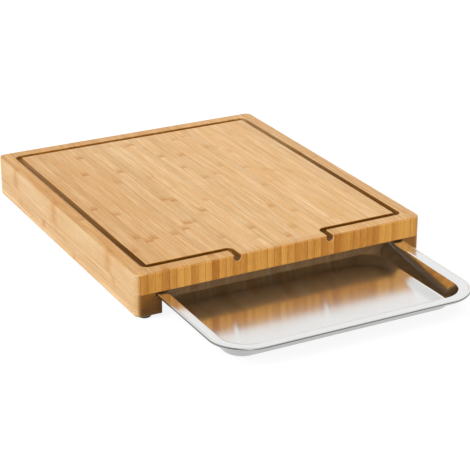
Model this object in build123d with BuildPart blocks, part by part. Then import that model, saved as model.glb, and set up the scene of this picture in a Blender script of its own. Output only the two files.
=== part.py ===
from build123d import *
from math import atan2, cos, tan
import os

# Bamboo cutting board with a juice groove, two spouts and a slide-out steel drip tray.
# The board is a panel of staves on edge, glued on three rails of flat staves. The tray hangs by its
# rim on ledges in the side rails and slides out to the front, which faces -Y. A strip under the panel
# stops it on the way in. Millimetres, +Z up.
# The origin is the middle of the whole object's footprint, on the table, with the tray drawn out.

os.makedirs("parts", exist_ok=True)

# Board: a panel of staves on three rails
board_width = 300.0
board_depth = 348.0
panel_thickness = 20.0
stave_count = 43
outer_stave_width = 4.6
rail_height = 22.0
rail_width = 25.0
back_rail_width = 25.0
rail_layers = ("lower", "middle", "upper")
corner_radius = 7.0
edge_radius = 2.0

# Juice groove, by the line that the middle of the cutter follows, with its edges eased
groove_width = 6.5
groove_depth = 6.0
groove_inset = 16.0
groove_inner_radius = 0.35
groove_ease = 0.4
spout_spacing = 97.4
spout_ease = 0.8

# Ledges in the side rails, and the play that the tray has in them
ledge_width = 5.75
slide_side_clearance = 0.5
slide_seat_gap = 0.3
slide_top_gap = 1.2
stop_gap = 0.5
stop_strip_width = 25.0

# Drip tray, drawn out by tray_reach beyond the board's front
tray_reach = 136.5
tray_length = 183.3
grip_reach = 7.5
tray_ground_gap = 2.2
sheet_thickness = 0.8
rim_width = 11.0
rim_corner_radius = 36.5
rim_bend_radius = 1.6
bead_diameter = 2.8
bead_rise = 0.6
floor_side_inset = 18.0
floor_end_inset = 24.5
floor_corner_radius = 17.0
floor_bend_radius = 1.5

# Rubber feet and their screws
foot_diameter = 12.5
foot_height = 4.0
foot_edge_radius = 1.2
foot_end_inset = 11.0
screw_diameter = 3.0
screw_length = 14.0
screw_point_length = 3.0
screw_point_diameter = 0.6
screw_head_diameter = 5.6
screw_head_height = 1.3
screw_recess = 1.0
screw_clearance = 0.1

# How far cutting shapes run past what they cut
overrun = 5.0

# Places that follow from the sizes
front_y = (tray_reach - board_depth) / 2
back_y = front_y + board_depth
board_centre_y = (front_y + back_y) / 2
rail_bottom = foot_height
panel_bottom = rail_bottom + rail_height
panel_top = panel_bottom + panel_thickness
stave_width = (board_width - 2 * outer_stave_width) / (stave_count - 2)
passage_width = board_width - 2 * rail_width
passage_back = back_y - back_rail_width
slot_width = passage_width + 2 * ledge_width
slot_height = slide_seat_gap + bead_diameter + slide_top_gap
ledge_top = panel_bottom - slot_height


# Panel in one piece: rounded all round the top, with the groove milled in
groove_x = board_width / 2 - groove_inset
groove_front = front_y + groove_inset
groove_back = back_y - groove_inset
spout_x = spout_spacing / 2
spout_mouth = front_y - overrun
groove_radius = groove_width / 2
groove_straight_depth = groove_depth - groove_radius
groove_half_mouth = groove_radius + groove_ease
groove_turn_radius = groove_half_mouth + groove_inner_radius


def groove_section(ease):
    """The groove's section, wider by ease on every side."""
    with Locations((0, -groove_straight_depth)):
        Circle(groove_radius + ease)
        Rectangle(
            2 * (groove_radius + ease), groove_straight_depth + overrun, align=(Align.CENTER, Align.MIN)
        )


with BuildPart() as panel:
    with BuildSketch(Plane.XY.offset(panel_bottom)):
        with Locations((0, board_centre_y)):
            RectangleRounded(board_width, board_depth, corner_radius)
    extrude(amount=panel_thickness)
    fillet(panel.faces().sort_by(Axis.Z)[-1].edges(), edge_radius)
    with BuildLine(Plane.XY.offset(panel_top)) as groove_line:
        FilletPolyline(
            (-spout_x, spout_mouth),
            (-spout_x, groove_front),
            (-groove_x, groove_front),
            (-groove_x, groove_back),
            (groove_x, groove_back),
            (groove_x, groove_front),
            (spout_x, groove_front),
            (spout_x, spout_mouth),
            radius=groove_turn_radius,
        )
    with BuildSketch(Plane((-spout_x, spout_mouth, panel_top), x_dir=(1, 0, 0), z_dir=(0, -1, 0))):
        groove_section(0)
        Polygon(
            (-groove_radius, -groove_ease),
            (groove_radius, -groove_ease),
            (groove_half_mouth, 0),
            (groove_half_mouth, overrun),
            (-groove_half_mouth, overrun),
            (-groove_half_mouth, 0),
            align=None,
        )
    sweep(path=groove_line.wires()[0], mode=Mode.SUBTRACT)
    for mouth_x in (-spout_x, spout_x):
        for mouth_y, ease in ((front_y + spout_ease, 0), (front_y - spout_ease, 2 * spout_ease)):
            with BuildSketch(Plane((mouth_x, mouth_y, panel_top), x_dir=(1, 0, 0), z_dir=(0, -1, 0))):
                groove_section(ease)
        loft(ruled=True, mode=Mode.SUBTRACT)

# The panel's staves, from left to right, the outer two trimmed to the board's width
first_joint = outer_stave_width - board_width / 2
stave_joints = [first_joint + index * stave_width for index in range(stave_count - 1)]
stave_edges = [-board_width / 2, *stave_joints, board_width / 2]

for index, (stave_left, stave_right) in enumerate(zip(stave_edges, stave_edges[1:])):
    stave_name = f"panel_stave_{index + 1:02d}"
    with BuildPart() as stave:
        add(panel.part)
        with Locations((stave_left, board_centre_y, panel_bottom)):
            Box(stave_right - stave_left, board_depth + 2 * overrun, 2 * panel_thickness + overrun,
                align=(Align.MIN, Align.CENTER, Align.CENTER), mode=Mode.INTERSECT)
    stave.part.label = stave_name
    export_step(stave.part, f"parts/{stave_name}.step")


# Three rails in one piece: the passage for the tray, its ledges and the holes for the foot screws
foot_x = (board_width - rail_width) / 2
foot_spacing_y = board_depth - 2 * foot_end_inset
screw_head_top = screw_recess + screw_head_height
screw_tip = screw_head_top + screw_length

with BuildPart() as rails:
    with BuildSketch(Plane.XY.offset(rail_bottom)):
        with Locations((0, board_centre_y)):
            RectangleRounded(board_width, board_depth, corner_radius)
    extrude(amount=rail_height)
    fillet(rails.faces().sort_by(Axis.Z)[0].edges(), edge_radius)
    with BuildSketch(Plane.XY.offset(rail_bottom - overrun)):
        with Locations((0, passage_back)):
            Rectangle(passage_width, board_depth, align=(Align.CENTER, Align.MAX))
    extrude(amount=rail_height + 2 * overrun, mode=Mode.SUBTRACT)
    with BuildSketch(Plane.XY.offset(ledge_top)):
        with Locations((0, passage_back)):
            Rectangle(slot_width, board_depth, align=(Align.CENTER, Align.MAX))
    extrude(amount=slot_height + overrun, mode=Mode.SUBTRACT)
    with Locations((0, board_centre_y, 0)):
        with GridLocations(2 * foot_x, foot_spacing_y, 2, 2):
            Cylinder(screw_diameter / 2 + screw_clearance, screw_tip + screw_clearance,
                     align=(Align.CENTER, Align.CENTER, Align.MIN), mode=Mode.SUBTRACT)

# Each rail's three flat staves, one on the other
passage_side = passage_width / 2
rail_spans = {
    "left_rail": (-board_width / 2, -passage_side, front_y, back_y),
    "right_rail": (passage_side, board_width / 2, front_y, back_y),
    "back_rail": (-passage_side, passage_side, passage_back, back_y),
}
layer_height = rail_height / len(rail_layers)

for rail_name, (x_low, x_high, y_low, y_high) in rail_spans.items():
    for level, layer in enumerate(rail_layers):
        layer_name = f"{rail_name}_{layer}_stave"
        with BuildPart() as rail_stave:
            add(rails.part)
            with Locations((x_low, y_low, rail_bottom + level * layer_height)):
                Box(x_high - x_low, y_high - y_low, layer_height,
                    align=(Align.MIN, Align.MIN, Align.MIN), mode=Mode.INTERSECT)
        rail_stave.part.label = layer_name
        export_step(rail_stave.part, f"parts/{layer_name}.step")

# Stop strip: one more flat stave, glued under the panel where the pushed-in tray's rim ends
stop_y = front_y - grip_reach + tray_length + stop_gap

with BuildPart() as stop_strip:
    with Locations((0, stop_y, panel_bottom)):
        Box(passage_width, stop_strip_width, layer_height, align=(Align.CENTER, Align.MIN, Align.MAX))
stop_strip.part.label = "tray_stop_strip"
export_step(stop_strip.part, "parts/tray_stop_strip.step")


# Drip tray: a basin with sloping walls, a flat rim and a rolled edge
tray_width = slot_width - 2 * slide_side_clearance
tray_front = front_y - tray_reach
tray_centre_y = tray_front + tray_length / 2
bead_radius = bead_diameter / 2
bead_middle = ledge_top + slide_seat_gap + bead_radius
bead_x = tray_width / 2 - bead_radius
bead_front = tray_front + bead_radius
bead_back = tray_front + tray_length - bead_radius
rim_top = bead_middle + bead_radius - bead_rise
rim_under = rim_top - sheet_thickness
tray_bottom = rail_bottom + tray_ground_gap
floor_top = tray_bottom + sheet_thickness
opening_corner_radius = rim_corner_radius - rim_width
side_draft = atan2(floor_side_inset - rim_width, rim_top - floor_top)
end_draft = atan2(floor_end_inset - rim_width, rim_top - floor_top)
side_across = sheet_thickness / cos(side_draft)
end_across = sheet_thickness / cos(end_draft)
bottom_side_inset = floor_side_inset - side_across + sheet_thickness * tan(side_draft)
bottom_end_inset = floor_end_inset - end_across + sheet_thickness * tan(end_draft)


def tray_outline(side_inset, end_inset, radius):
    """The tray's plan outline, drawn in from the rim's outer edge at the sides and at the ends."""
    with Locations((0, tray_centre_y)):
        RectangleRounded(tray_width - 2 * side_inset, tray_length - 2 * end_inset, radius)


with BuildPart() as tray:
    with BuildSketch(Plane.XY.offset(tray_bottom)):
        tray_outline(bottom_side_inset, bottom_end_inset, floor_corner_radius + side_across)
    with BuildSketch(Plane.XY.offset(rim_top)):
        tray_outline(rim_width - side_across, rim_width - end_across, opening_corner_radius + side_across)
    loft(ruled=True)
    with BuildSketch(Plane.XY.offset(rim_under)):
        tray_outline(bead_radius, bead_radius, rim_corner_radius - bead_radius)
    extrude(amount=sheet_thickness)
    with BuildSketch(Plane.XY.offset(floor_top)):
        tray_outline(floor_side_inset, floor_end_inset, floor_corner_radius)
    with BuildSketch(Plane.XY.offset(rim_top)):
        tray_outline(rim_width, rim_width, opening_corner_radius)
    loft(ruled=True, mode=Mode.SUBTRACT)
    levels = tray.faces().filter_by(Axis.Z).group_by(Axis.Z)
    underside, floor, flange_under, rim = (level[0] for level in levels)
    fillet(underside.outer_wire().edges(), floor_bend_radius + sheet_thickness)
    fillet(floor.outer_wire().edges(), floor_bend_radius)
    fillet(rim.inner_wires()[0].edges(), rim_bend_radius)
    fillet(flange_under.inner_wires()[0].edges(), rim_bend_radius - sheet_thickness)
    with BuildLine(Plane.XY.offset(bead_middle)) as bead_line:
        FilletPolyline(
            (-bead_x, bead_front),
            (bead_x, bead_front),
            (bead_x, bead_back),
            (-bead_x, bead_back),
            radius=rim_corner_radius - bead_radius,
            close=True,
        )
    bead_path = bead_line.wires()[0]
    with BuildSketch(Plane(bead_path @ 0, z_dir=bead_path % 0)):
        Circle(bead_radius)
    sweep(path=bead_path)
tray.part.label = "drip_tray"
export_step(tray.part, "parts/drip_tray.step")


# Rubber feet, one under each end of the side rails
for end, foot_y in (("front", front_y + foot_end_inset), ("back", back_y - foot_end_inset)):
    for side, direction in (("left", -1), ("right", 1)):
        foot_name = f"{end}_{side}_foot"
        with BuildPart() as foot:
            with BuildSketch():
                with Locations((direction * foot_x, foot_y)):
                    Circle(foot_diameter / 2)
                    Circle(screw_diameter / 2 + screw_clearance, mode=Mode.SUBTRACT)
            extrude(amount=foot_height)
            outer_edges = foot.edges().filter_by(GeomType.CIRCLE).filter_by(
                lambda edge: edge.radius > screw_head_diameter)
            fillet(outer_edges.sort_by(Axis.Z)[0], foot_edge_radius)
            with BuildSketch():
                with Locations((direction * foot_x, foot_y)):
                    Circle(screw_head_diameter / 2 + screw_clearance)
            extrude(amount=screw_head_top, mode=Mode.SUBTRACT)
        foot.part.label = foot_name
        export_step(foot.part, f"parts/{foot_name}.step")


# Foot screws: four alike, each with a round head sunk in its foot and a point up in its rail
with BuildPart() as screws:
    with Locations((0, board_centre_y, screw_recess)):
        with GridLocations(2 * foot_x, foot_spacing_y, 2, 2):
            Cylinder(screw_head_diameter / 2, screw_head_height,
                     align=(Align.CENTER, Align.CENTER, Align.MIN))
    with Locations((0, board_centre_y, screw_head_top)):
        with GridLocations(2 * foot_x, foot_spacing_y, 2, 2):
            Cylinder(screw_diameter / 2, screw_length - screw_point_length,
                     align=(Align.CENTER, Align.CENTER, Align.MIN))
    with Locations((0, board_centre_y, screw_tip - screw_point_length)):
        with GridLocations(2 * foot_x, foot_spacing_y, 2, 2):
            Cone(screw_diameter / 2, screw_point_diameter / 2, screw_point_length,
                 align=(Align.CENTER, Align.CENTER, Align.MIN))
screws.part.label = "foot_screws"
export_step(screws.part, "parts/foot_screws.step")

slide_in = grip_reach - tray_reach
print(f"Board {board_width} x {board_depth} x {panel_top} mm, tray {tray_width} x {tray_length} mm")
print(f"Tray slides {slide_in} mm to its stop, draft of its walls {side_draft:.3f} and {end_draft:.3f} rad")
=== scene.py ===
# %% [markdown]
# # A bamboo cutting board with a slide-out drip tray
# The board already exists as solids: each stave, each foot, the tray and the set of screws is a mesh of its
# own, in metres, with +Z up and the front towards -Y. This lesson lights that model, sets the camera where
# the photographer stood and gives each surface its finish. Nothing is modelled twice: the solids have the
# right shapes, so only their materials are new.

# %% Load the solids
import math

import bpy
from mathutils import Matrix, Vector


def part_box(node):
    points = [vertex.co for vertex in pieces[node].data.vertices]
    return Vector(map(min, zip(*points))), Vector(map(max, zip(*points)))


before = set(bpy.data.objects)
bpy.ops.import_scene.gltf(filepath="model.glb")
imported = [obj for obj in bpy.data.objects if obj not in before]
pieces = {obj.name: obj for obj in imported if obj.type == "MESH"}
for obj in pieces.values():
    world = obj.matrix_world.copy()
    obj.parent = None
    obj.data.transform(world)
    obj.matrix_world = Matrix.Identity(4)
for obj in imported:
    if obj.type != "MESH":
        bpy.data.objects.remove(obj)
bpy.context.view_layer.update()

# %% [markdown]
# ## Measuring the board
# The finishes follow the staves, so they need the places of the glue joints. Those could be typed in
# again, but then they would drift from the solids. Here they are read from the staves' own boxes.

# %% Measure the staves, the rails and the tray
stave_names = sorted(name for name in pieces if name.startswith("panel_stave"))
side_rail_names = [name for name in pieces if name.startswith(("left_rail", "right_rail"))]
cross_rail_names = [name for name in pieces if name.startswith(("back_rail", "tray_stop"))]
foot_names = [name for name in pieces if name.endswith("_foot")]

panel_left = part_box(stave_names[0])[0].x
panel_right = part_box(stave_names[-1])[1].x
middle_low, middle_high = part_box(stave_names[len(stave_names) // 2])
front_y, back_y, panel_top = middle_low.y, middle_high.y, middle_high.z
first_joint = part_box(stave_names[1])[0].x
stave_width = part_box(stave_names[1])[1].x - first_joint
rail_low, rail_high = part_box("left_rail_lower_stave")
layer_height = rail_high.z - rail_low.z
tray_low, tray_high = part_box("drip_tray")
print("stave", round(stave_width * 1000, 2), "mm, rail layer", round(layer_height * 1000, 2), "mm")

# %% [markdown]
# ## The camera
# The photograph was taken from the front left, a little above the board, with a long lens. The view could
# be set by eye, but a fit of the board's straight edges gives it to a pixel: the way round, the height
# angle, the distance, and a focal length in pixels, which Blender takes as millimetres on its sensor.

# %% Set the camera
image_width_px = 470
focal_length_px = 1597.8
camera_azimuth = math.radians(-27.887)
camera_elevation = math.radians(23.075)
camera_roll = math.radians(0.056)
camera_distance = 1.5429
camera_aim = Vector((-0.00563, -0.01898, 0.024))
sensor_width_mm = 36.0
nearest_seen = 0.05

camera = bpy.data.cameras.new("photo_camera")
camera.sensor_width = sensor_width_mm
camera.lens = focal_length_px / image_width_px * sensor_width_mm
camera.clip_start = nearest_seen
camera_object = bpy.data.objects.new("photo_camera", camera)
bpy.context.scene.collection.objects.link(camera_object)
turn = (
    Matrix.Rotation(camera_azimuth, 4, "Z")
    @ Matrix.Rotation(math.pi / 2 - camera_elevation, 4, "X")
    @ Matrix.Rotation(camera_roll, 4, "Z")
)
towards_camera = turn.to_3x3() @ Vector((0, 0, 1))
camera_place = camera_aim + camera_distance * towards_camera
camera_object.matrix_world = Matrix.Translation(camera_place) @ turn
bpy.context.scene.camera = camera_object
bpy.context.scene.view_settings.view_transform = "Standard"
print("lens", round(camera.lens, 2), "mm, camera at", [round(value, 3) for value in camera_place])

# %% [markdown]
# ## Writing a formula in nodes
# A procedural finish is a chain of small nodes: positions go in, and a colour comes out. Laid out by hand
# each node takes several lines. This helper adds nodes by short calls and hands back their output, so that
# a formula for a glue line reads like a formula.

# %% A helper for node trees
X, Y, Z = 0, 1, 2


class NodeTree:
    """A node tree in the making. Each method adds what it names and hands back the output socket."""

    def __init__(self, tree):
        self.tree = tree

    def set(self, socket, value):
        """Links value to the socket if it is an output, and writes it there if it is a number or colour."""
        if isinstance(value, bpy.types.NodeSocket):
            self.tree.links.new(value, socket)
        else:
            socket.default_value = value

    def node(self, kind, inputs, output=0, **settings):
        made = self.tree.nodes.new(kind)
        for setting, value in settings.items():
            setattr(made, setting, value)
        for key, value in inputs.items():
            self.set(made.inputs[key], value)
        return made.outputs[output]

    def split(self, kind, value):
        """The single numbers that a vector or a colour holds."""
        made = self.tree.nodes.new(kind)
        self.tree.links.new(value, made.inputs[0])
        return made.outputs

    def math(self, operation, *values):
        return self.node("ShaderNodeMath", dict(enumerate(values)), operation=operation)

    def plus(self, first, second):
        return self.math("ADD", first, second)

    def minus(self, first, second):
        return self.math("SUBTRACT", first, second)

    def times(self, first, second):
        return self.math("MULTIPLY", first, second)

    def over(self, first, second):
        return self.math("DIVIDE", first, second)

    def absolute(self, value):
        return self.math("ABSOLUTE", value)

    def all_of(self, first, *others):
        """The product of these shares, which is 1 only where all of them are 1."""
        for other in others:
            first = self.times(first, other)
        return first

    def ramp(self, value, low, high, start=0.0, end=1.0):
        """Turns value from low to high into start to end, eased and held beyond both."""
        places = {"Value": value, "From Min": low, "From Max": high, "To Min": start, "To Max": end}
        return self.node("ShaderNodeMapRange", places, interpolation_type="SMOOTHSTEP")

    def between(self, share, first, second):
        """Mixes two numbers by share. A mix node keeps its sockets for numbers at 2 and 3."""
        return self.node("ShaderNodeMix", {0: share, 2: first, 3: second}, data_type="FLOAT")

    def mix(self, share, first, second, blend="MIX"):
        """Mixes two colours by share. A mix node keeps its sockets for colours at 6 and 7."""
        colours = {0: share, 6: first, 7: second}
        return self.node("ShaderNodeMix", colours, output=2, data_type="RGBA", blend_type=blend)

    def grey(self, value):
        """The same number as red, green and blue."""
        return self.node("ShaderNodeCombineColor", {0: value, 1: value, 2: value})

    def vector(self, x, y, z):
        return self.node("ShaderNodeCombineXYZ", {0: x, 1: y, 2: z})

    def grains(self, place, lengths, seed=0.0, detail=2.0, roughness=0.5):
        """Noise with grains of these lengths in metres along x, y and z. Along a None it doesn't change."""
        steps = [self.over(out, length) if length else 0.0 for out, length in zip(place, lengths)]
        values = {"Vector": self.vector(*steps), "W": seed, "Scale": 1.0}
        values.update({"Detail": detail, "Roughness": roughness})
        return self.node("ShaderNodeTexNoise", values, noise_dimensions="4D")

    def chance(self, vector, part):
        """A steady random number from 0 to 1 for each whole-numbered place; part picks one of three."""
        values = {"Vector": vector}
        colour = self.node("ShaderNodeTexWhiteNoise", values, output="Color", noise_dimensions="3D")
        return self.split("ShaderNodeSeparateColor", colour)[part]


print("helper:", ", ".join(name for name in vars(NodeTree) if not name.startswith("_")))

# %% [markdown]
# ## Finishes
# A finish is a material that knows where it is on the board. Flat colours could be chosen from a picker, but
# wood and steel change from place to place, so a finish can ask for the position in the board's frame and for
# the way that the surface faces. Colours are written as a picture program shows them, as colours are read off
# a photograph.

# %% A helper for finishes
class Finish(NodeTree):
    """A material in the making."""

    def __init__(self, name):
        self.material = bpy.data.materials.new(name)
        self.material.use_nodes = True
        super().__init__(self.material.node_tree)
        self.shader = self.tree.nodes["Principled BSDF"]

    def place(self):
        """The x, y and z of the point, in metres in the board's own frame."""
        point = self.node("ShaderNodeTexCoord", {}, output="Object")
        return self.split("ShaderNodeSeparateXYZ", point)

    def normal(self):
        """The x, y and z of the surface's outward direction."""
        outward = self.node("ShaderNodeNewGeometry", {}, output="Normal")
        return self.split("ShaderNodeSeparateXYZ", outward)

    def colour(self, value):
        self.set(self.shader.inputs["Base Color"], value)

    def bump(self, height, distance, strength):
        normal = self.node("ShaderNodeBump", {"Height": height, "Distance": distance, "Strength": strength})
        self.set(self.shader.inputs["Normal"], normal)

    def give_to(self, *names):
        """Gives the finished material to these pieces."""
        for name in names:
            pieces[name].data.materials.clear()
            pieces[name].data.materials.append(self.material)
        print(self.material.name, "on", len(names), "pieces,", len(self.tree.nodes), "nodes")


def shade(red, green, blue):
    """A colour as a picture program shows it, from 0 to 255, as the linear numbers that Blender mixes."""
    def linear(value):
        value /= 255
        return value / 12.92 if value <= 0.04045 else ((value + 0.055) / 1.055) ** 2.4
    return linear(red), linear(green), linear(blue), 1.0


print("a middle grey of 128 is", round(shade(128, 128, 128)[0], 3), "in linear light")

# %% [markdown]
# ## Bamboo staves
# A bamboo stave is a bundle of long straight fibres, which show along it as fine streaks. Each stave comes
# from another stalk, so each has a tone of its own. An image texture would repeat and could not turn the
# corner from face to end. This finish works from the position in the wood instead: the distance from the
# first glue joint gives the stave's number, the number gives its tone, and noise that is drawn out along
# the fibres gives the streaks.

# %% Staves and their streaks
millimetre = 0.001
# The sizes of a mark are given across the stave, along it and the third way
streak_sizes = (0.9 * millimetre, 45 * millimetre, 1.8 * millimetre)
streak_detail, streak_roughness = 3.0, 0.6
stave_draw, seed_spread = (3.0, 1.0), 90.0


class Staves(Finish):
    """Staves laid side by side along the axis across, with their fibres along the axis along."""

    def __init__(self, name, across, along, first_edge, width):
        super().__init__(name)
        self.across, self.along, self.third = across, along, X + Y + Z - across - along
        self.width = width
        self.at = self.place()
        self.facing = [self.absolute(out) for out in self.normal()]
        steps = self.over(self.minus(self.at[across], first_edge), width)
        self.number = self.math("FLOOR", steps)
        self.share = self.math("FRACT", steps)
        self.from_middle = self.minus(self.share, 0.5)
        draw = self.vector(self.number, *stave_draw)
        self.tone, self.seed = self.chance(draw, 0), self.chance(draw, 1)
        self.streaks = self.fibres(streak_sizes, detail=streak_detail, roughness=streak_roughness)

    def fibres(self, sizes, shift=0.0, detail=1.0, roughness=0.5):
        """Noise with grains of these sizes, other in each stave. Shift sets one kind apart from another."""
        size_along = dict(zip((self.across, self.along, self.third), sizes))
        seed = self.plus(self.times(self.seed, seed_spread), shift)
        return self.grains(self.at, [size_along[axis] for axis in (X, Y, Z)], seed, detail, roughness)


print("streaks of", [round(size / millimetre, 2) for size in streak_sizes], "mm")

# %% [markdown]
# ## Nodes and glue lines
# Every hand's breadth or so a stalk has a node. On a stave it is a brown bar across the fibres, frayed along
# them, with a soft smudge beside it. Placed by hand, hundreds of them would take hundreds of numbers, so the
# stave's number gives where its nodes lie, and only those that show singly on the left face are placed. Where
# two staves meet, the glue is a thin dark line.

# %% Nodes and glue lines
node_spacing, node_start, node_scatter = 125 * millimetre, 7.0, 0.7
node_draw = 5.0
drawn_strength, placed_strength = (0.0, 0.8), 0.7
fewer_to_the_right = (-20 * millimetre, 100 * millimetre, 1.0, 0.35)
bar_bow, bar_fray = 5 * millimetre, 12 * millimetre
bar_share, bar_edge = 0.6, (0.2 * millimetre, 3.5 * millimetre, 1.0, 0.0)
smudge_share, smudge_edge = 0.4, (0.5 * millimetre, 8 * millimetre, 1.0, 0.0)
smudge_offset = 4 * millimetre
glue_edge = (0.08 * millimetre, 0.4 * millimetre, 1.0, 0.0)


def drawn_nodes(staves):
    """The distance from the stave's nearest node, and how strongly that node shows."""
    steps = staves.over(staves.at[staves.along], node_spacing)
    steps = staves.plus(steps, staves.times(staves.seed, node_start))
    draw = staves.vector(staves.number, staves.math("FLOOR", steps), node_draw)
    scatter = staves.times(staves.minus(staves.chance(draw, 0), 0.5), node_scatter)
    off_node = staves.minus(staves.minus(staves.math("FRACT", steps), 0.5), scatter)
    strength = staves.ramp(staves.chance(draw, 1), *drawn_strength)
    fewer = staves.ramp(staves.at[X], *fewer_to_the_right)
    return staves.times(off_node, node_spacing), staves.times(strength, fewer)


def node_marks(staves, placed_nodes):
    """How much of a node's brown shows. placed_nodes are metres from the front, on the outermost stave."""
    distance, strength = drawn_nodes(staves)
    if placed_nodes:
        # The outermost stave lies before the first joint, so its number is -1
        outermost = staves.math("LESS_THAN", staves.number, -0.5)
        point = staves.at[staves.along]
        away = [staves.absolute(staves.minus(point, front_y + node)) for node in placed_nodes]
        nearest = away[0]
        for other in away[1:]:
            nearest = staves.math("MINIMUM", nearest, other)
        distance = staves.between(outermost, distance, nearest)
        strength = staves.between(outermost, strength, placed_strength)
    bow = staves.times(staves.times(staves.from_middle, staves.from_middle), bar_bow)
    fray = staves.times(staves.minus(staves.streaks, 0.5), bar_fray)
    bowed = staves.plus(staves.plus(distance, bow), fray)
    bar = staves.ramp(staves.absolute(bowed), *bar_edge)
    smudge = staves.ramp(staves.absolute(staves.minus(bowed, smudge_offset)), *smudge_edge)
    mark = staves.plus(staves.times(bar, bar_share), staves.times(smudge, smudge_share))
    return staves.times(mark, strength)


def glue_lines(staves):
    """1 on the line where two staves meet."""
    to_edge = staves.times(staves.minus(0.5, staves.absolute(staves.from_middle)), staves.width)
    return staves.ramp(to_edge, *glue_edge)


print("a node about every", round(node_spacing / millimetre), "mm along a stave")

# %% [markdown]
# ## Long faces
# Dark and light streaks cover a long face, with broad golden patches, short fine grain and a thin dark fibre
# here and there. One even noise would look like cloth, so each kind of mark has its own length and width. A
# stave's broad side is calmer than the edges side by side on the top, so there the streaks and the dark
# fibres fade. Rounded edges are painted darker, a painted shade that takes back the highlight which the lamps
# put where an edge turns towards them.

# %% The colour of the long faces
patch_staves, patch_length = 4, 63 * millimetre
grain_sizes, grain_shift = (0.9 * millimetre, 6 * millimetre, 0.9 * millimetre), 20.0
vein_sizes, vein_shift = (1.4 * millimetre, 90 * millimetre, 4.2 * millimetre), 40.0
streak_levels, vein_levels = (0.3, 0.66), (0.58, 0.72)
patch_levels = (0.35, 0.65, 0.5, 0.0)
calm_side = (0.2, 0.8, 0.0, 0.6)
tone_weight, patch_weight = 0.13, 0.1
grain_weight, grain_middle = 0.25, 0.35
plain_tone, rounding_shade = 0.86, -0.34
vein_share, glue_on_faces = 0.5, 0.22
node_brown = shade(196, 126, 32)
glue_brown = shade(120, 76, 36)


def face_colour(staves, glue, shades, placed_nodes):
    dark, light, golden = shades
    patch_width = patch_staves * staves.width
    patches = staves.fibres((patch_width, patch_length, patch_width))
    grain = staves.fibres(grain_sizes, grain_shift)
    veins = staves.ramp(staves.fibres(vein_sizes, vein_shift), *vein_levels)
    calm = staves.ramp(staves.facing[staves.across], *calm_side)

    face = staves.mix(staves.between(calm, staves.ramp(staves.streaks, *streak_levels), 1.0), dark, light)
    face = staves.mix(staves.ramp(patches, *patch_levels), face, golden)
    own_tone = staves.plus(staves.times(staves.tone, tone_weight), staves.times(patches, patch_weight))
    own_tone = staves.plus(own_tone, staves.times(staves.minus(grain, grain_middle), grain_weight))
    # Painted shade: rounded edges are darkened where the lamps would light them most
    rounding = staves.times(staves.facing[staves.across], staves.facing[staves.third])
    shaded_rounding = staves.math("MULTIPLY_ADD", rounding, rounding_shade, plain_tone)
    face = staves.mix(1.0, face, staves.grey(staves.plus(own_tone, shaded_rounding)), "MULTIPLY")

    shown_veins = staves.times(staves.times(veins, vein_share), staves.minus(1.0, calm))
    face = staves.mix(shown_veins, face, node_brown)
    face = staves.mix(node_marks(staves, placed_nodes), face, node_brown)
    return staves.mix(staves.times(glue, glue_on_faces), face, glue_brown)


print("golden patches", patch_staves, "staves wide and", round(patch_length / millimetre), "mm long")

# %% [markdown]
# ## Sawn ends
# A sawn end is golden and darker than the faces, with fine lines of cut fibres that are denser towards the
# outside of the stalk. Most ends could take any tone by chance, but the photograph shows some that are
# clearly darker or paler than the rest, so a short list by the stave's number adds to the chance.

# %% The colour of the sawn ends
line_sizes = (0.55 * millimetre, None, 7 * millimetre)
line_detail, line_roughness = 3.0, 0.7
line_weight, line_middle = 1.3, 0.35
end_tone_weight, inside_weight = 0.4, 0.25
end_levels = (-0.1, 1.0)
glue_on_ends = (0.2, 0.9, 0.2, 0.85)
group_slack = 0.1
# The first and the last number of a group, and how much darker, or below 0 paler, its ends are. A rail's
# layers are numbered too, from the lowest.
darker_ends = (
    (0, 0, 0.3), (1, 9, -0.12), (3, 3, 0.4), (7, 7, 0.32), (10, 10, 0.3),
    (22, 25, 0.12), (26, 34, 0.3), (38, 40, -0.3),
)


def end_colour(staves, glue, shades):
    dark, light = shades
    lines = staves.fibres(line_sizes, detail=line_detail, roughness=line_roughness)
    inwards = staves.absolute(staves.minus(staves.share, staves.math("ROUND", staves.seed)))
    pale = staves.plus(staves.times(staves.tone, end_tone_weight), staves.times(inwards, inside_weight))
    pale = staves.plus(pale, staves.times(staves.minus(lines, line_middle), line_weight))
    for first, last, darker in darker_ends:
        half_group = (last - first) / 2 + group_slack
        in_group = staves.math("COMPARE", staves.number, (first + last) / 2, half_group)
        pale = staves.minus(pale, staves.times(in_group, darker))
    end = staves.mix(staves.ramp(pale, *end_levels), dark, light)
    return staves.mix(staves.times(glue, staves.ramp(staves.seed, *glue_on_ends)), end, glue_brown)


print(len(darker_ends), "groups of ends with a tone of their own")

# %% [markdown]
# ## The bamboo finish
# Faces and ends could be two materials, but the rounded edges between them would then show a hard line. One
# finish turns from one to the other as the surface turns. The wood is oiled and satin, and its fibres stand
# up very slightly, so the streaks also drive a shallow bump.

# %% Put the bamboo together
end_turn = (0.6, 1.0)
wood_roughness, wood_gloss = 0.45, 0.35
fibre_height, fibre_relief = 0.05 * millimetre, 0.3


def bamboo(name, across, along, first_edge, width, end_shades, face_shades, placed_nodes=()):
    """Makes the finish and hands it back with its colour, which is still to be set."""
    staves = Staves(name, across, along, first_edge, width)
    glue = glue_lines(staves)
    face = face_colour(staves, glue, face_shades, placed_nodes)
    end = end_colour(staves, glue, end_shades)
    staves.shader.inputs["Roughness"].default_value = wood_roughness
    staves.shader.inputs["Specular IOR Level"].default_value = wood_gloss
    staves.bump(staves.streaks, fibre_height, fibre_relief)
    return staves, staves.mix(staves.ramp(staves.facing[along], *end_turn), face, end)


print("oiled bamboo, roughness", wood_roughness)
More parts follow.
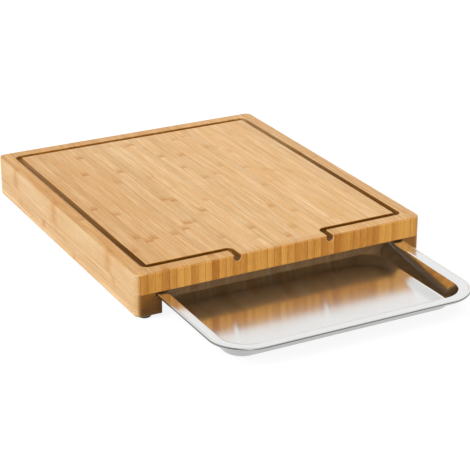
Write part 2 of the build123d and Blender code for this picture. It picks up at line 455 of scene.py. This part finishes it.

# %% [markdown]
# ## The panel
# The panel's staves stand on edge, side by side. The strip outside the groove and the staves at the left are
# tinted darker and more golden than the rest, and this tint is partly painted shade. Between the two spouts
# there is no groove, and the tint fades in towards the front edge. The strip crosses the staves, so it is no
# material of its own: the panel's finish tints what lies outside the groove.

# %% Tint the panel, partly as painted shade
left_face_nodes = (62.4 * millimetre, 193.6 * millimetre, 298 * millimetre)
strip_width, strip_edge = 12.8 * millimetre, 0.5 * millimetre
spout_place = 48.7 * millimetre
tint_and_shade_at_right, tint_and_shade_at_front = 0.5, 0.7
tint_and_shade_at_left = (panel_left, -20 * millimetre, 0.75, 0.0)
upward_turn = (0.4, 0.9)
tint_and_shade_colour = (0.86, 0.75, 0.57, 1.0)

panel, colour = bamboo(
    "panel_bamboo", X, Y, first_joint, stave_width,
    end_shades=(shade(180, 110, 33), shade(233, 170, 81)),
    face_shades=(shade(212, 158, 96), shade(237, 201, 151), shade(224, 172, 104)),
    placed_nodes=left_face_nodes,
)
x, y, z = panel.at
middle_y = (front_y + back_y) / 2
from_middle_x, from_middle_y = panel.absolute(x), panel.absolute(panel.minus(y, middle_y))
past_groove_x = panel.minus(from_middle_x, panel_right - strip_width)
past_groove_y = panel.minus(from_middle_y, back_y - middle_y - strip_width)
past_groove = panel.math("MAXIMUM", past_groove_x, past_groove_y)
strip = panel.ramp(past_groove, -strip_edge, strip_edge)
strip = panel.times(strip, panel.ramp(x, 0.0, panel_right, 1.0, tint_and_shade_at_right))
front_edge = panel.ramp(past_groove_y, 0.0, strip_width, 0.0, tint_and_shade_at_front)
between_spouts = panel.all_of(
    panel.math("LESS_THAN", from_middle_x, spout_place), panel.math("LESS_THAN", y, middle_y)
)
strip = panel.between(between_spouts, strip, front_edge)
# A darker golden tint, partly painted shade, on the strip and the staves at the left
tint_and_shade = panel.math("MAXIMUM", strip, panel.ramp(x, *tint_and_shade_at_left))
tint_and_shade = panel.times(tint_and_shade, panel.ramp(panel.normal()[Z], *upward_turn))
colour = panel.mix(tint_and_shade, colour, tint_and_shade_colour, "MULTIPLY")
print("oiled strip", round(strip_width / millimetre, 1), "mm wide")

# %% [markdown]
# ## The groove
# The groove was milled after gluing. The cutter left its sides scorched and open, so they are darker than the
# top, and they are painted darker still, as painted shade where the groove lies in shadow, most of all at the
# front. The groove could have a slot of its own on each stave, but it is known by its depth, so the panel's
# finish darkens what lies below the top and inside the outer faces.

# %% Darken the groove
groove_reach = 6.5 * millimetre
groove_top = (0.3 * millimetre, 0.9 * millimetre)
front_margin, other_margin = 0.4 * millimetre, 8 * millimetre
groove_levels = (0.35, 0.75)
groove_dark, groove_light = shade(88, 48, 0), shade(158, 100, 10)
less_scorch_and_shade = (-60 * millimetre, 200 * millimetre, 0.95, 0.6)

below_top = panel.minus(panel_top, z)
in_groove = panel.all_of(
    panel.ramp(below_top, *groove_top),
    panel.math("LESS_THAN", below_top, groove_reach),
    panel.math("LESS_THAN", from_middle_x, panel_right - other_margin),
    panel.math("GREATER_THAN", y, front_y + front_margin),
    panel.math("LESS_THAN", y, back_y - other_margin),
)
# Scorched sides, darkened further as painted shade, most of all at the front
scorch_and_shade = panel.times(in_groove, panel.ramp(y, *less_scorch_and_shade))
milled_and_shaded = panel.mix(panel.ramp(panel.streaks, *groove_levels), groove_dark, groove_light)
panel.colour(panel.mix(scorch_and_shade, colour, milled_and_shaded))
panel.give_to(*stave_names)

# %% [markdown]
# ## The rails
# The rails under the panel are staves lying flat, one on the other. A second wood could be written for them,
# but they are the same bamboo, so here it is stacked along Z. Their ends are painted much darker: a painted
# shadow that stands for the tray's shadow on the left rail's front end, given to every rail end. The side
# rails run from front to back. The back rail and the strip that stops the tray run across.

# %% Finish the rails
# Painted shadow: the rail ends are dark as if in the tray's shadow
shaded_rail_ends = (shade(104, 60, 6), shade(156, 102, 30))
rail_faces = (shade(214, 160, 98), shade(239, 203, 153), shade(226, 174, 106))
rail_kinds = (("rail_bamboo", Y, side_rail_names), ("cross_bamboo", X, cross_rail_names))
for name, along, rail_names in rail_kinds:
    rails, colour = bamboo(name, Z, along, rail_low.z, layer_height, shaded_rail_ends, rail_faces)
    rails.colour(colour)
    rails.give_to(*rail_names)

# %% [markdown]
# ## The tray's rolled edge
# The tray is pressed from one stainless sheet, and its rim ends in a rolled edge. The roll's outer side is
# made rougher and painted dark grey, a painted reflection of the shaded floor below it. The rolled edge could
# have a slot of its own, but the tray is one solid, so the finish finds the edge by its distance from the
# rim's outline, a rounded rectangle, and by the way that it faces.

# %% Find the rolled edge
rolled_edge, rolled_blend = 2.4 * millimetre, 0.3 * millimetre
rim_corner = 36.5 * millimetre
line_top, line_foot = (0.6, 0.93, 1.0, 0.0), (0.0, 0.35, 0.3, 1.0)

steel = Finish("tray_steel")
place = steel.place()
upward = steel.normal()[Z]
beyond_corners = []
for axis in (X, Y):
    from_middle = steel.minus(place[axis], (tray_low[axis] + tray_high[axis]) / 2)
    straight = (tray_high[axis] - tray_low[axis]) / 2 - rim_corner
    beyond_corners.append(steel.minus(steel.absolute(from_middle), straight))
squares = [steel.math("POWER", steel.math("MAXIMUM", out, 0.0), 2.0) for out in beyond_corners]
in_corner = steel.math("SQRT", steel.plus(*squares))
along_side = steel.math("MINIMUM", steel.math("MAXIMUM", *beyond_corners), 0.0)
past_rim = steel.minus(steel.plus(in_corner, along_side), rim_corner - rolled_edge)
# Painted reflection: a dark line on the roll's outer side, where it faces sideways
shaded_line = steel.times(steel.ramp(upward, *line_top), steel.ramp(upward, *line_foot))
rolled_shade = steel.times(steel.ramp(past_rim, 0.0, rolled_blend), shaded_line)
print("rolled edge", round(rolled_edge / millimetre, 1), "mm wide")

# %% [markdown]
# ## The tray's sheet
# The sheet was brushed from left to right: it mirrors the board's front, and what it mirrors is drawn out
# across the brushing, from front to back. A mirror would be too clean and a grey paint too dead, so this is a
# metal with a little roughness, stronger one way than the other. The walls were drawn over the press's edge
# and are smoother than the level sheet. The underside is rougher than the inside, and it is painted darker
# grey as a painted reflection of its own shadow on the floor.

# %% Finish the tray
brush_length, brush_width = 40 * millimetre, 0.35 * millimetre
brush_detail, brush_roughness = 3.0, 0.6
cloud_size, cloud_seed = 60 * millimetre, 3.0
sheet_dark, sheet_light = shade(223, 223, 222), shade(242, 242, 241)
# Painted reflection: the underside's grey stands for its shadow on the floor
underside_shade_grey, underside_shade_share, underside_turn = shade(168, 168, 166), 0.8, (-0.4, -0.1, 1.0, 0.0)
# Painted reflection: the rolled edge's dark grey
rolled_shade_grey, rolled_shade_share = shade(86, 85, 83), 0.92
least_rough, brush_rough, cloud_rough, underside_rough, rolled_rough = 0.06, 0.1, 0.06, 0.15, 0.5
level_turn, wall_smoothness, brushed_one_way = (0.85, 0.98), 0.6, 0.8
brush_height, brush_relief = 0.02 * millimetre, 0.15

brush_lengths = (brush_length, brush_width, brush_width)
brushing = steel.grains(place, brush_lengths, detail=brush_detail, roughness=brush_roughness)
clouds = steel.grains(place, [cloud_size] * 3, cloud_seed)
underside = steel.ramp(upward, *underside_turn)
level_sheet = steel.ramp(steel.absolute(upward), *level_turn)

sheet = steel.mix(brushing, sheet_dark, sheet_light)
sheet = steel.mix(steel.times(underside, underside_shade_share), sheet, underside_shade_grey)
steel.colour(steel.mix(steel.times(rolled_shade, rolled_shade_share), sheet, rolled_shade_grey))

rough = steel.plus(steel.times(brushing, brush_rough), steel.times(clouds, cloud_rough))
dull = steel.plus(steel.times(underside, underside_rough), steel.times(rolled_shade, rolled_rough))
rough = steel.plus(steel.plus(rough, dull), least_rough)
rough = steel.times(rough, steel.ramp(level_sheet, 0.0, 1.0, wall_smoothness, 1.0))
steel.set(steel.shader.inputs["Roughness"], rough)
steel.set(steel.shader.inputs["Tangent"], steel.vector(0.0, 1.0, 0.0))
steel.set(steel.shader.inputs["Anisotropic"], steel.times(level_sheet, brushed_one_way))
steel.shader.inputs["Metallic"].default_value = 1.0
steel.bump(brushing, brush_height, brush_relief)
steel.give_to("drip_tray")

# %% [markdown]
# ## Feet and screws
# The feet are black rubber, and the screws that hold them are zinc plated. Both sit in the shade under the
# board. Flat colours would nearly do, but small changes of tone keep them from looking like paint.

# %% Finish the feet and the screws
rubber_grain, rubber_roughness = 0.8 * millimetre, 0.7
rubber_height, rubber_relief = 0.1 * millimetre, 0.3
plating_size, plating_gloss = 1.5 * millimetre, (0.3, 0.7, 0.25, 0.4)
small_detail = 3.0

rubber = Finish("foot_rubber")
grain = rubber.grains(rubber.place(), [rubber_grain] * 3, detail=small_detail)
rubber.colour(rubber.mix(grain, shade(22, 22, 22), shade(46, 45, 44)))
rubber.shader.inputs["Roughness"].default_value = rubber_roughness
rubber.bump(grain, rubber_height, rubber_relief)
rubber.give_to(*foot_names)

zinc = Finish("screw_steel")
plating = zinc.grains(zinc.place(), [plating_size] * 3, detail=small_detail)
zinc.colour(zinc.mix(plating, shade(176, 178, 180), shade(206, 206, 202)))
zinc.set(zinc.shader.inputs["Roughness"], zinc.ramp(plating, *plating_gloss))
zinc.shader.inputs["Metallic"].default_value = 1.0
zinc.give_to("foot_screws")

# %% [markdown]
# ## The light tent
# The board stands in a light tent. The camera and reflections see the tent as plain white up to its open
# top, which is dark: steel needs something dark to mirror, or it would look like white paint. A tent this
# bright would wash out the wood, so as a light on surfaces it is much weaker than it looks.

# %% Put up the tent
tent_light, tent_white = 0.18, 1.0
open_top = (0.72, 1.0, 1.0, 0.1)


def level(maker, low, high):
    """A strength that is low for light on a surface and high for what is seen, in a mirror or glass too."""
    path = maker.tree.nodes.new("ShaderNodeLightPath").outputs
    seen = path["Is Camera Ray"]
    for ray in ("Is Glossy Ray", "Is Transmission Ray"):
        seen = maker.math("MAXIMUM", seen, path[ray])
    # Light that a mirror throws on a matt surface counts as light on that surface
    seen = maker.minus(seen, path["Diffuse Depth"])
    return maker.node("ShaderNodeMapRange", {"Value": seen, "To Min": low, "To Max": high})


world = bpy.data.worlds.new("light_tent")
bpy.context.scene.world = world
world.use_nodes = True
tent = NodeTree(world.node_tree)
direction = tent.node("ShaderNodeTexCoord", {}, output="Generated")
height = tent.split("ShaderNodeSeparateXYZ", direction)[Z]
background = world.node_tree.nodes["Background"]
tent.set(background.inputs["Color"], tent.ramp(height, *open_top))
tent.set(background.inputs["Strength"], level(tent, tent_light, tent_white))
print("tent lights surfaces at", tent_light, "and is seen at", tent_white)

# %% [markdown]
# ## The bright sides
# The tent's left side is bright and lights the top and the left face. A weaker light low at the front right
# lights the front, and the tray's shadow keeps it off the left rail's end. A third, high at the front,
# reaches the panel's underside by way of the tray. Lamps close by would leave the far floor grey, so wide
# suns stand for the bright sides.

# %% Light the sides
# Name, strength, degrees round from the front, degrees up, degrees wide, and whether the steel mirrors it
bright_sides = (
    ("left_bright_side", 2.9, -90, 32, 60, False),
    ("front_bright_side", 1.4, 32, 10, 24, False),
    ("high_bright_side", 1.0, -10, 62, 36, True),
)
for name, strength, azimuth, elevation, spread, mirrored in bright_sides:
    sun = bpy.data.lights.new(name, "SUN")
    sun.energy = strength
    sun.angle = math.radians(spread)
    sun_object = bpy.data.objects.new(name, sun)
    bpy.context.scene.collection.objects.link(sun_object)
    sun_object.rotation_euler = (math.radians(90 - elevation), 0, math.radians(azimuth))
    sun_object.visible_glossy = mirrored
    print(name, "of", strength)

# %% [markdown]
# ## The white table
# The table is plain and white, and only the object's soft shadow shows on it. More light would whiten it and
# the wood with it. Instead it glows for the camera just enough to go white where nothing shades it, and its
# own grey carries the shadow.

# %% Lay the table
floor_size = 12.0
floor_white, floor_glow, floor_roughness = 0.2, 0.9, 0.9

half = floor_size / 2
floor_corners = [(-half, -half, 0), (half, -half, 0), (half, half, 0), (-half, half, 0)]
floor_mesh = bpy.data.meshes.new("white_table")
floor_mesh.from_pydata(floor_corners, [], [(0, 1, 2, 3)])
floor = bpy.data.objects.new("white_table", floor_mesh)
bpy.context.scene.collection.objects.link(floor)
table = Finish("white_table")
table.colour((floor_white, floor_white, floor_white, 1))
table.shader.inputs["Roughness"].default_value = floor_roughness
table.shader.inputs["Specular IOR Level"].default_value = 0.0
table.shader.inputs["Emission Color"].default_value = (1, 1, 1, 1)
table.set(table.shader.inputs["Emission Strength"], level(table, 0.0, floor_glow))
floor_mesh.materials.append(table.material)
print("table", floor_size, "m wide")

# %% [markdown]
